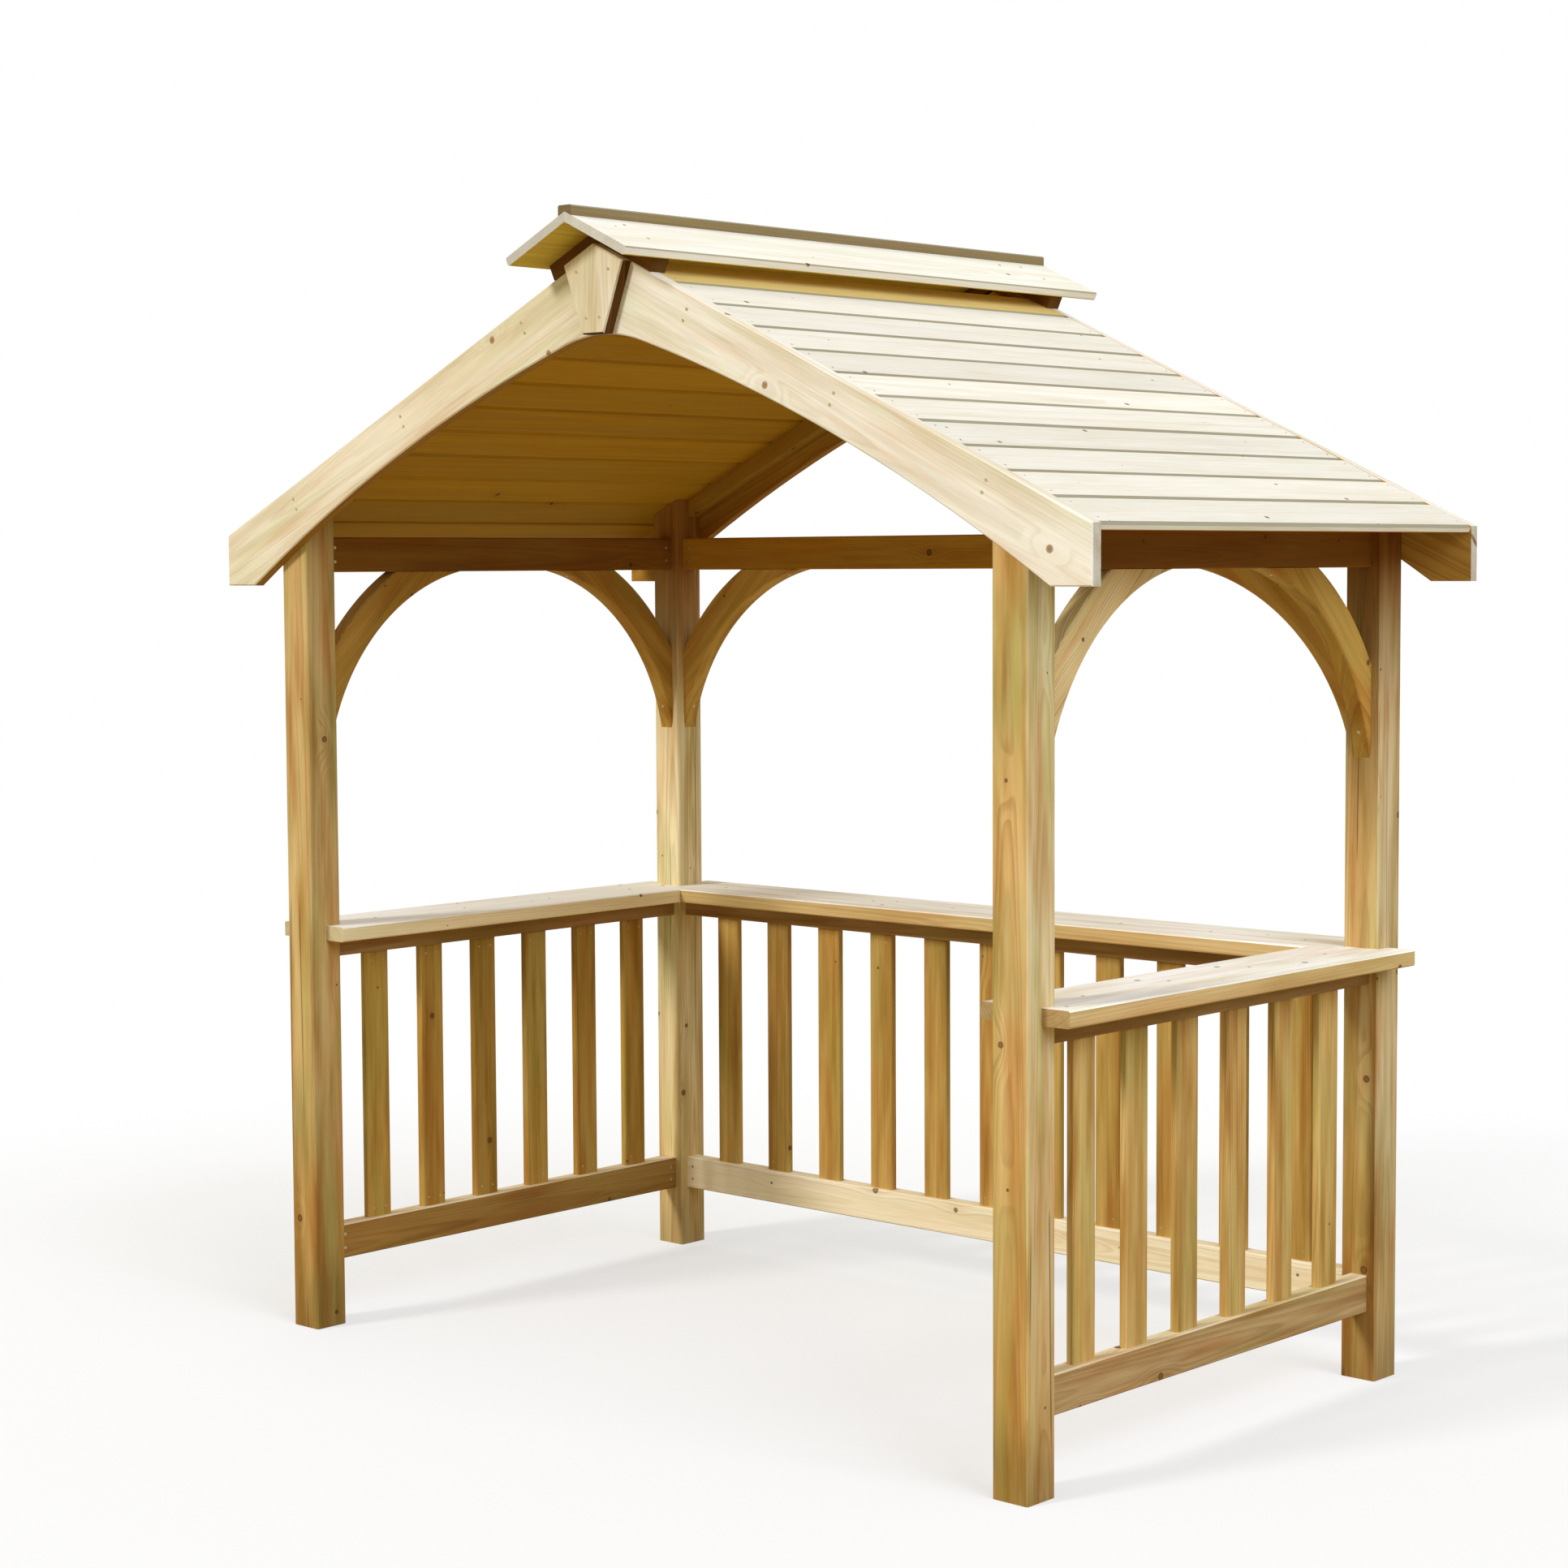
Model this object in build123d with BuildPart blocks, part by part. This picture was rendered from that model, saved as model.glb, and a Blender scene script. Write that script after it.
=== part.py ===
from build123d import *
import os
from math import cos, radians, sin, sqrt, tan

# Open-fronted timber shelter with a vented gable roof, for outdoor cooking.
# Millimetres. X runs across the gable front, Y runs from front to back, Z is up.
# The origin is on the ground in the middle of the four posts. The open front is at -Y.

# Frame
POST_SECTION = 90
FRAME_WIDTH = 2310
FRAME_DEPTH = 1380
RAIL_THICKNESS = 45
BEAM_DEPTH = 86
BEAM_CLEARANCE = 5
ARRIS = 3

# Balustrade and shelf
BOTTOM_RAIL_HEIGHT = 158
BOTTOM_RAIL_DEPTH = 86
TOP_RAIL_DEPTH = 46
SLAT_WIDTH = 75
SLAT_THICKNESS = 20
SLAT_NOMINAL_GAP = 107
SHELF_TOP = 1000
SHELF_THICKNESS = 36
SHELF_INNER_OVERHANG = 65
SHELF_OUTER_OVERHANG = 70

# Curved braces
BRACE_REACH = 432
BRACE_INNER_RADIUS = 555
BRACE_WIDTH = 80
BRACE_THICKNESS = 45

# Roof
ROOF_PITCH = 25
EAVES_HEIGHT = 1959
EAVES_OVERHANG = 178
BOARD_THICKNESS = 20
BOARD_NOMINAL_COVER = 125
BOARD_JOINT_WIDTH = 6
BOARD_JOINT_DEPTH = 4
RAFTER_SECTION = 45
VENT_WIDTH = 170

# Arched barge boards and their keystones
BARGE_THICKNESS = 28
BARGE_FOOT_HEIGHT = 123
BARGE_FOOT_LENGTH = 102
BARGE_ARCH_RISE = 40
BARGE_APEX_DEPTH = 196
CROWN_HALF_WIDTH = 120
CROWN_RISE = 19
KEYSTONE_THICKNESS = 28
KEYSTONE_TOP_WIDTH = 184
KEYSTONE_BOTTOM_WIDTH = 66

# Raised ridge cap
SADDLE_HEIGHT = 36
SADDLE_THICKNESS = 45
SADDLE_LENGTH = 165
CAP_BOARD_WIDTH = 198
CAP_BOARD_THICKNESS = 20
CAP_OVERHANG = 110
RIDGE_STRIP_WIDTH = 40
RIDGE_STRIP_RISE = 14

# Places worked out from the sizes above
pitch = radians(ROOF_PITCH)
half_width = FRAME_WIDTH / 2
half_depth = FRAME_DEPTH / 2
half_post = POST_SECTION / 2
inner_width = FRAME_WIDTH - 2 * POST_SECTION
inner_depth = FRAME_DEPTH - 2 * POST_SECTION
inner_x = inner_width / 2
inner_y = inner_depth / 2
post_x = half_width - half_post
post_y = half_depth - half_post

beam_bottom = EAVES_HEIGHT - BEAM_CLEARANCE - BEAM_DEPTH
bottom_rail_top = BOTTOM_RAIL_HEIGHT + BOTTOM_RAIL_DEPTH
shelf_bottom = SHELF_TOP - SHELF_THICKNESS
top_rail_bottom = shelf_bottom - TOP_RAIL_DEPTH

eaves_x = half_width + EAVES_OVERHANG
ridge_z = EAVES_HEIGHT + eaves_x * tan(pitch)
board_drop = BOARD_THICKNESS / cos(pitch)
rafter_drop = RAFTER_SECTION / cos(pitch)
vent_x = VENT_WIDTH / 2

barge_outer_y = half_depth + BARGE_THICKNESS
foot_bottom = EAVES_HEIGHT - BARGE_FOOT_HEIGHT
crown_z = ridge_z - BARGE_APEX_DEPTH
saddle_drop = SADDLE_HEIGHT / cos(pitch)
cap_drop = CAP_BOARD_THICKNESS / cos(pitch)
cap_underside_z = ridge_z + saddle_drop
cap_apex_z = cap_underside_z + cap_drop
cap_half_length = barge_outer_y + CAP_OVERHANG

SIDES = (("left", -1), ("right", 1))
ENDS = (("front", -1), ("back", 1))

os.makedirs("parts", exist_ok=True)


def save(piece, name):
    """Label one finished piece and write it to its own file."""
    piece.part.label = name
    export_step(piece.part, f"parts/{name}.step")


def roof_top(x):
    """Height of the upper face of the roof boards at a distance x from the ridge."""
    return ridge_z - abs(x) * tan(pitch)


def along_slope(distance, height=0.0):
    """Point on the right slope, a distance down from the ridge line and a height off it."""
    x = distance * cos(pitch) + height * sin(pitch)
    z = -distance * sin(pitch) + height * cos(pitch)
    return x, z


def outer_face(piece, end):
    """The flat face of a piece that looks out at the front or at the back."""
    faces = piece.faces().filter_by(Axis.Y).sort_by(Axis.Y)
    return faces[0] if end < 0 else faces[-1]


# Posts, cut at the top to the slope of the roof boards that rest on them
def post(side, end):
    """One square post, its head cut to the underside of the roof boards."""
    outer = side * half_width
    inner = side * inner_x
    with BuildPart() as piece:
        with BuildSketch(Plane.XZ.offset(-end * half_depth)):
            with BuildLine():
                Polyline(
                    (inner, 0),
                    (outer, 0),
                    (outer, roof_top(outer) - board_drop),
                    (inner, roof_top(inner) - board_drop),
                    close=True,
                )
            make_face()
        extrude(amount=end * POST_SECTION)
        chamfer(piece.edges().filter_by(Axis.Z), ARRIS)
    return piece


for side_name, side in SIDES:
    for end_name, end in ENDS:
        save(post(side, end), f"{end_name}_{side_name}_post")


# Straight timbers between two posts: head beams, bottom rails and top rails
def side_timber(side, bottom, depth):
    """A timber that runs from the front post to the back post on one side."""
    with BuildPart() as piece:
        with BuildSketch(Plane.XY.offset(bottom)):
            with Locations((side * post_x, 0)):
                Rectangle(RAIL_THICKNESS, inner_depth)
        extrude(amount=depth)
        chamfer(piece.edges().filter_by(Axis.Y), ARRIS)
    return piece


def back_timber(bottom, depth):
    """A timber that runs from the left post to the right post at the back."""
    with BuildPart() as piece:
        with BuildSketch(Plane.XY.offset(bottom)):
            with Locations((0, post_y)):
                Rectangle(inner_width, RAIL_THICKNESS)
        extrude(amount=depth)
        chamfer(piece.edges().filter_by(Axis.X), ARRIS)
    return piece


TIMBERS = (
    ("beam", beam_bottom, BEAM_DEPTH),
    ("bottom_rail", BOTTOM_RAIL_HEIGHT, BOTTOM_RAIL_DEPTH),
    ("top_rail", top_rail_bottom, TOP_RAIL_DEPTH),
)
for timber_name, bottom, depth in TIMBERS:
    for side_name, side in SIDES:
        save(side_timber(side, bottom, depth), f"{side_name}_{timber_name}")
    save(back_timber(bottom, depth), f"back_{timber_name}")


# Slats, evenly spaced between the posts and standing on the bottom rail
def slat_spacing(span):
    """Number of slats in a panel and the distance between their centres."""
    count = round((span - SLAT_NOMINAL_GAP) / (SLAT_WIDTH + SLAT_NOMINAL_GAP))
    gap = (span - count * SLAT_WIDTH) / (count + 1)
    return count, SLAT_WIDTH + gap


slat_height = top_rail_bottom - bottom_rail_top
for side_name, side in SIDES:
    slat_count, slat_pitch = slat_spacing(inner_depth)
    with BuildPart() as slats:
        with BuildSketch(Plane.XY.offset(bottom_rail_top)):
            with Locations((side * post_x, 0)):
                with GridLocations(0, slat_pitch, 1, slat_count):
                    Rectangle(SLAT_THICKNESS, SLAT_WIDTH)
        extrude(amount=slat_height)
        chamfer(slats.edges().filter_by(Axis.Z), ARRIS)
    save(slats, f"{side_name}_slats")

slat_count, slat_pitch = slat_spacing(inner_width)
with BuildPart() as back_slats:
    with BuildSketch(Plane.XY.offset(bottom_rail_top)):
        with Locations((0, post_y)):
            with GridLocations(slat_pitch, 0, slat_count, 1):
                Rectangle(SLAT_WIDTH, SLAT_THICKNESS)
    extrude(amount=slat_height)
    chamfer(back_slats.edges().filter_by(Axis.Z), ARRIS)
save(back_slats, "back_slats")

# Shelves on top of the rails, notched round the posts and mitred at the inner back corners.
# Their tongues run past the faces of the posts and stop at the middle of each post.
shelf_width = SHELF_INNER_OVERHANG + POST_SECTION + SHELF_OUTER_OVERHANG
shelf_inner_x = inner_x - SHELF_INNER_OVERHANG
shelf_inner_y = inner_y - SHELF_INNER_OVERHANG
shelf_middle_x = shelf_inner_x + shelf_width / 2
shelf_middle_y = shelf_inner_y + shelf_width / 2


def ease_long_edges(piece, axis):
    """Take the arris off the two long edges, top and bottom, and leave notches and mitres."""
    long_edges = piece.edges().filter_by(axis).sort_by(SortBy.LENGTH)[-4:]
    chamfer(long_edges, ARRIS)


for side_name, side in SIDES:
    with BuildPart() as side_shelf:
        with BuildSketch(Plane.XY.offset(shelf_bottom)):
            with Locations((side * shelf_middle_x, 0)):
                Rectangle(shelf_width, 2 * post_y)
            with Locations((side * post_x, -post_y), (side * post_x, post_y)):
                Rectangle(POST_SECTION, POST_SECTION, mode=Mode.SUBTRACT)
            with BuildLine():
                Polyline(
                    (side * shelf_inner_x, shelf_inner_y),
                    (side * inner_x, inner_y),
                    (side * inner_x, post_y),
                    (side * shelf_inner_x, post_y),
                    close=True,
                )
            make_face(mode=Mode.SUBTRACT)
        extrude(amount=SHELF_THICKNESS)
        ease_long_edges(side_shelf, Axis.Y)
    save(side_shelf, f"{side_name}_shelf")

with BuildPart() as back_shelf:
    with BuildSketch(Plane.XY.offset(shelf_bottom)):
        with Locations((0, shelf_middle_y)):
            Rectangle(2 * post_x, shelf_width)
        with Locations((-post_x, post_y), (post_x, post_y)):
            Rectangle(POST_SECTION, POST_SECTION, mode=Mode.SUBTRACT)
        for side_name, side in SIDES:
            with BuildLine():
                Polyline(
                    (side * shelf_inner_x, shelf_inner_y),
                    (side * inner_x, inner_y),
                    (side * post_x, inner_y),
                    (side * post_x, shelf_inner_y),
                    close=True,
                )
            make_face(mode=Mode.SUBTRACT)
    extrude(amount=SHELF_THICKNESS)
    ease_long_edges(back_shelf, Axis.X)
save(back_shelf, "back_shelf")


# Braces, each an arc of timber whose inner curve runs out on the post and on the beam
brace_centre = (BRACE_REACH + sqrt(2 * BRACE_INNER_RADIUS**2 - BRACE_REACH**2)) / 2


def brace(plane, facing):
    """One curved brace. The plane's origin is where the post meets the beam's underside."""
    middle = facing * brace_centre / 2
    with BuildPart() as piece:
        with BuildSketch(plane):
            with Locations((facing * brace_centre, -brace_centre)):
                Circle(BRACE_INNER_RADIUS + BRACE_WIDTH)
                Circle(BRACE_INNER_RADIUS, mode=Mode.SUBTRACT)
            with Locations((middle, -brace_centre / 2)):
                Rectangle(brace_centre, brace_centre, mode=Mode.INTERSECT)
        extrude(amount=BRACE_THICKNESS / 2, both=True)
        chamfer(piece.edges().filter_by(GeomType.CIRCLE), ARRIS)
    return piece


for side_name, side in SIDES:
    for end_name, end in ENDS:
        corner = (side * post_x, end * inner_y, beam_bottom)
        across = Plane(origin=corner, x_dir=(0, 1, 0), z_dir=(1, 0, 0))
        save(brace(across, -end), f"{side_name}_{end_name}_brace")
    corner = (side * inner_x, post_y, beam_bottom)
    along = Plane(origin=corner, x_dir=(1, 0, 0), z_dir=(0, -1, 0))
    save(brace(along, -side), f"back_{side_name}_brace")


# Barge boards, straight on top, with a plumb foot, an arched lower edge and a round crown
def barge(side, end):
    """Half of one arched gable end, outside the posts and the ends of the roof boards."""
    foot_inner = side * (eaves_x - BARGE_FOOT_LENGTH)
    crown_start = (side * CROWN_HALF_WIDTH, crown_z - CROWN_RISE)
    with BuildPart() as piece:
        with BuildSketch(Plane.XZ.offset(-end * half_depth)):
            with BuildLine():
                Polyline(
                    (0, crown_z),
                    (0, ridge_z),
                    (side * eaves_x, EAVES_HEIGHT),
                    (side * eaves_x, foot_bottom),
                    (foot_inner, foot_bottom),
                )
                SagittaArc((foot_inner, foot_bottom), crown_start, -side * BARGE_ARCH_RISE)
                TangentArc((0, crown_z), crown_start, tangent=(side, 0))
            make_face()
        extrude(amount=-end * BARGE_THICKNESS)
        chamfer(outer_face(piece, end).edges(), ARRIS)
    return piece


for end_name, end in ENDS:
    for side_name, side in SIDES:
        save(barge(side, end), f"{end_name}_{side_name}_barge_board")

# Keystone plates over the joint of the barge boards, gabled on top and tapering down
for end_name, end in ENDS:
    shoulder = KEYSTONE_TOP_WIDTH / 2
    with BuildPart() as keystone:
        with BuildSketch(Plane.XZ.offset(-end * barge_outer_y)):
            with BuildLine():
                Polyline(
                    (0, ridge_z),
                    (shoulder, roof_top(shoulder)),
                    (KEYSTONE_BOTTOM_WIDTH / 2, crown_z),
                    (-KEYSTONE_BOTTOM_WIDTH / 2, crown_z),
                    (-shoulder, roof_top(shoulder)),
                    close=True,
                )
            make_face()
        extrude(amount=-end * KEYSTONE_THICKNESS)
        chamfer(outer_face(keystone, end).edges(), ARRIS)
    save(keystone, f"{end_name}_keystone")

# Rafters behind the barge boards, from the posts to the ridge, under the roof boards
for end_name, end in ENDS:
    for side_name, side in SIDES:
        foot_top = roof_top(inner_x) - board_drop
        with BuildPart() as rafter:
            with BuildSketch(Plane.XZ.offset(-end * half_depth)):
                with BuildLine():
                    Polyline(
                        (0, ridge_z - board_drop),
                        (side * inner_x, foot_top),
                        (side * inner_x, foot_top - rafter_drop),
                        (0, ridge_z - board_drop - rafter_drop),
                        close=True,
                    )
                make_face()
            extrude(amount=end * RAFTER_SECTION)
        save(rafter, f"{end_name}_{side_name}_rafter")

# Roof slopes of V-jointed boards that run from front to back and stop short of the ridge
slope_top = vent_x / cos(pitch)
slope_length = eaves_x / cos(pitch) - slope_top
board_count = round(slope_length / BOARD_NOMINAL_COVER)
board_cover = slope_length / board_count

for side_name, side in SIDES:
    with BuildPart() as slope:
        with BuildSketch(Plane.XZ.offset(half_depth)):
            with BuildLine():
                Polyline(
                    (side * vent_x, roof_top(vent_x)),
                    (side * eaves_x, EAVES_HEIGHT),
                    (side * eaves_x, EAVES_HEIGHT - board_drop),
                    (side * vent_x, roof_top(vent_x) - board_drop),
                    close=True,
                )
            make_face()
            for joint in range(1, board_count):
                distance = slope_top + joint * board_cover
                half_joint = BOARD_JOINT_WIDTH / 2
                for face, inward in ((0, -1), (-BOARD_THICKNESS, 1)):
                    mouth_high = along_slope(distance - half_joint, face)
                    mouth_low = along_slope(distance + half_joint, face)
                    root = along_slope(distance, face + inward * BOARD_JOINT_DEPTH)
                    with BuildLine():
                        Polyline(
                            (side * mouth_high[0], ridge_z + mouth_high[1]),
                            (side * mouth_low[0], ridge_z + mouth_low[1]),
                            (side * root[0], ridge_z + root[1]),
                            close=True,
                        )
                    make_face(mode=Mode.SUBTRACT)
        extrude(amount=-FRAME_DEPTH)
    save(slope, f"{side_name}_roof_boards")

# Saddles that lift the ridge cap off the barge boards and leave a slot for the smoke
for end_name, end in ENDS:
    for side_name, side in SIDES:
        saddle_foot = along_slope(SADDLE_LENGTH)
        saddle_shoulder = along_slope(SADDLE_LENGTH, SADDLE_HEIGHT)
        with BuildPart() as saddle:
            with BuildSketch(Plane.XZ.offset(-end * barge_outer_y)):
                with BuildLine():
                    Polyline(
                        (0, ridge_z),
                        (side * saddle_foot[0], ridge_z + saddle_foot[1]),
                        (side * saddle_shoulder[0], ridge_z + saddle_shoulder[1]),
                        (0, cap_underside_z),
                        close=True,
                    )
                make_face()
            extrude(amount=end * SADDLE_THICKNESS)
        save(saddle, f"{end_name}_{side_name}_cap_saddle")

# Ridge cap of two wide boards, mitred at the ridge and longer than the roof at both ends
for side_name, side in SIDES:
    cap_edge_low = along_slope(CAP_BOARD_WIDTH)
    cap_edge_high = along_slope(CAP_BOARD_WIDTH, CAP_BOARD_THICKNESS)
    with BuildPart() as cap_board:
        with BuildSketch(Plane.XZ.offset(cap_half_length)):
            with BuildLine():
                Polyline(
                    (0, cap_underside_z),
                    (side * cap_edge_low[0], cap_underside_z + cap_edge_low[1]),
                    (side * cap_edge_high[0], cap_underside_z + cap_edge_high[1]),
                    (0, cap_apex_z),
                    close=True,
                )
            make_face()
        extrude(amount=-2 * cap_half_length)
        lower_edge = cap_board.edges().filter_by(Axis.Y).sort_by(Axis.Z)[:2]
        chamfer(lower_edge, ARRIS)
    save(cap_board, f"{side_name}_cap_board")

# Ridge strip, hollowed underneath to sit on both cap boards
strip_half = RIDGE_STRIP_WIDTH / 2
strip_top = cap_apex_z + RIDGE_STRIP_RISE
strip_foot = cap_apex_z - strip_half * tan(pitch)
with BuildPart() as ridge_strip:
    with BuildSketch(Plane.XZ.offset(cap_half_length)):
        with BuildLine():
            Polyline(
                (0, cap_apex_z),
                (strip_half, strip_foot),
                (strip_half, strip_top),
                (-strip_half, strip_top),
                (-strip_half, strip_foot),
                close=True,
            )
        make_face()
    extrude(amount=-2 * cap_half_length)
    top_edges = ridge_strip.edges().filter_by(Axis.Y).group_by(Axis.Z)[-1]
    chamfer(top_edges, ARRIS)
save(ridge_strip, "ridge_strip")
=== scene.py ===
import logging
from dataclasses import dataclass, field, replace
from enum import Enum
from math import atan2, cos, pi, radians, sin, sqrt
from random import Random

import bmesh
import bpy
from bmesh.types import BMesh
from bpy.types import Material, Node, NodeSocket, NodeTree, Object
from mathutils import Matrix, Vector


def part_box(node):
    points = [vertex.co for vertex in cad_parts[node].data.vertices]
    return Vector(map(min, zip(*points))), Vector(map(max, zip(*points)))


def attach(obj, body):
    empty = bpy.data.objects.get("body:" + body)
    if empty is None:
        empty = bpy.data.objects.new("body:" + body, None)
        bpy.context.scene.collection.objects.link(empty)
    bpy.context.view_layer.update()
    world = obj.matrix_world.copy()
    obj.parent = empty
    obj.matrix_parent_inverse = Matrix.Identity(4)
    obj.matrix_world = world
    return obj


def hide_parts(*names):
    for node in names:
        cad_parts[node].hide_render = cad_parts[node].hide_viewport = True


# Looks of an open-fronted timber barbecue shelter. Metres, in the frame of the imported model:
# X runs across the gable front, Y from front to back, Z up, and the open front is at -Y.

MM = 0.001
BODY = "root"
WHITE = (1.0, 1.0, 1.0, 1.0)
Value = NodeSocket | Vector | tuple[float, ...] | float
Inputs = dict[str | int, Value] | tuple[Value, ...]
Outline = list[tuple[float, float]]
log = logging.getLogger("shelter")

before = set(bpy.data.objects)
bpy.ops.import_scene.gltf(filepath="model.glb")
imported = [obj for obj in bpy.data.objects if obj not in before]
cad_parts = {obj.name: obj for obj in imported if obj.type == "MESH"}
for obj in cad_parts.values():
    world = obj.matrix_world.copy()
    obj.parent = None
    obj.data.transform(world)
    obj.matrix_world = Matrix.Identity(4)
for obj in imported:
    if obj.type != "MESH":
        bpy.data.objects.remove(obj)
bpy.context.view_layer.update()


class Side(Enum):
    """The two sides of the ridge, with the sign of their X."""

    LEFT = -1
    RIGHT = 1

    @property
    def label(self) -> str:
        """The word that node names use for this side."""
        return self.name.lower()


class End(Enum):
    """The two gable ends, with the sign of their Y."""

    FRONT = -1
    BACK = 1

    @property
    def label(self) -> str:
        """The word that node names use for this end."""
        return self.name.lower()


class Cut(Enum):
    """How a timber was sawn from the log: how far its pith lies from its middle, in mm."""

    BOXED_HEART = 14
    HALVED_LOG = 42
    FLAT_SAWN = 85


def linear(hex_colour: str) -> tuple[float, float, float, float]:
    """Turn an sRGB hex colour into a linear one.

    Args:
        hex_colour: Six hex digits, such as "d9ae66".

    Returns:
        Linear red, green and blue, and an alpha of 1.
    """
    channels = []
    for start in (0, 2, 4):
        value = int(hex_colour[start:start + 2], 16) / 255
        channels.append(value / 12.92 if value <= 0.04045 else ((value + 0.055) / 1.055) ** 2.4)
    return (channels[0], channels[1], channels[2], 1.0)


def add_node(tree: NodeTree, kind: str, inputs: Inputs = (), **settings: object) -> Node:
    """Add one node with its settings and links.

    Args:
        tree: The node tree that the node goes into.
        kind: Blender's name for the type of node, without the ShaderNode before it.
        inputs: Values, or sockets to link, in order or by the name or number of the input.
        settings: Properties of the node, by name.

    Returns:
        The new node.
    """
    node = tree.nodes.new(f"ShaderNode{kind}")
    for name, value in settings.items():
        setattr(node, name, value)
    for key, value in inputs.items() if isinstance(inputs, dict) else enumerate(inputs):
        if isinstance(value, NodeSocket):
            tree.links.new(value, node.inputs[key])
        else:
            node.inputs[key].default_value = value
    return node


def empty_material(label: str) -> Material:
    """Make a material whose node tree is empty.

    Args:
        label: Name for the material.

    Returns:
        The new material.
    """
    made = bpy.data.materials.new(label)
    made.use_nodes = True
    made.node_tree.nodes.clear()
    return made


@dataclass(frozen=True)
class Row:
    """A row of like pieces in one mesh, each of which gets its own grain.

    Attributes:
        axis: Unit vector along the row.
        start: Distance along the axis at which the first piece's share of the row begins, in m.
        pitch: Share of the row that each piece takes, in m.
    """

    axis: Vector
    start: float
    pitch: float


@dataclass(frozen=True)
class Lie:
    """How one timber lies: where its pith runs, along what, and which of a kind it is.

    Attributes:
        pith: A point on the pith of the log that it was sawn from, in m.
        along: Unit vector along the grain.
        seed: Number that no other timber has.
        out: Unit vector towards the weather and the light, which the pale faces look to.
        row: Set where the mesh holds a row of like pieces.
    """

    pith: Vector
    along: Vector
    seed: int
    out: Vector
    row: Row | None = None

    @property
    def turn(self) -> tuple[float, float, float]:
        """Euler angles that turn the Z axis to the grain."""
        return tuple(self.along.to_track_quat("Z", "Y").to_euler())


@dataclass(frozen=True)
class Pine:
    """Pressure-treated redwood pine, planed: pale sapwood, orange heartwood and brown knots.

    Growth rings show as soft stripes that run with the grain, close into tongues on a flat-sawn
    face and bend round the knots. The treatment leaves faint green clouds, and drying leaves
    fine cracks in thick timbers. Cut ends drink more of it and are darker. Faces that look to the
    weather can be paler, partly bleached by the sun and partly painted light.

    Attributes:
        sapwood, heartwood, latewood, knot, treatment: sRGB colours in hex.
        pale: Colour of faces that look to the weather, partly bleached by the sun and partly painted light,
            or none.
        pale_from: How far a face looks to the weather before it turns pale, as a cosine.
        bleach_and_light: How strongly it turns pale, from 0 to 1, as bleaching and painted light.
        sheltered_and_shaded: Colour of such faces within shelter_m of the ridge: unbleached, as the cap
            keeps them dry, and painted shadow of the cap.
        shelter_m: Reach of the cap's shelter and painted shadow from the ridge plane.
        joint: Colour of the walls of V-joints, partly dirt and partly painted shade, or none.
        ring_mm: Width of a growth ring, drawn a little coarse so that it shows.
        stripe: How strongly the latewood shows, from 0 to 1.
        knot_mm: Radius of the largest knots.
        knot_every_mm: Mean distance of knots along the grain.
        cloud: How strongly the treatment's colour shows, from 0 to 1.
        mottle: How unevenly the treatment soaked in, from 0 to 1.
        crack: How many drying cracks show, from 0 to 1.
        soil: Whether the foot is darkened by splashed soil.
        painted_shade_m: Height from which painted shade of the roof darkens the timber upwards, or none.
    """

    sapwood: str
    heartwood: str
    latewood: str
    knot: str = "5a3416"
    treatment: str = "a9a35c"
    pale: str | None = None
    pale_from: float = 0.4
    bleach_and_light: float = 0.9
    sheltered_and_shaded: str | None = None
    shelter_m: float = 0.0
    joint: str | None = None
    ring_mm: float = 5.0
    stripe: float = 0.5
    knot_mm: float = 11.0
    knot_every_mm: float = 330.0
    cloud: float = 0.25
    mottle: float = 0.4
    crack: float = 0.0
    soil: bool = False
    painted_shade_m: float | None = None

    def material(self, label: str, lie: Lie) -> Material:
        """Make the finish of one timber, or of one row of like ones."""
        return PineGraph(self, label, lie).material


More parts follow.
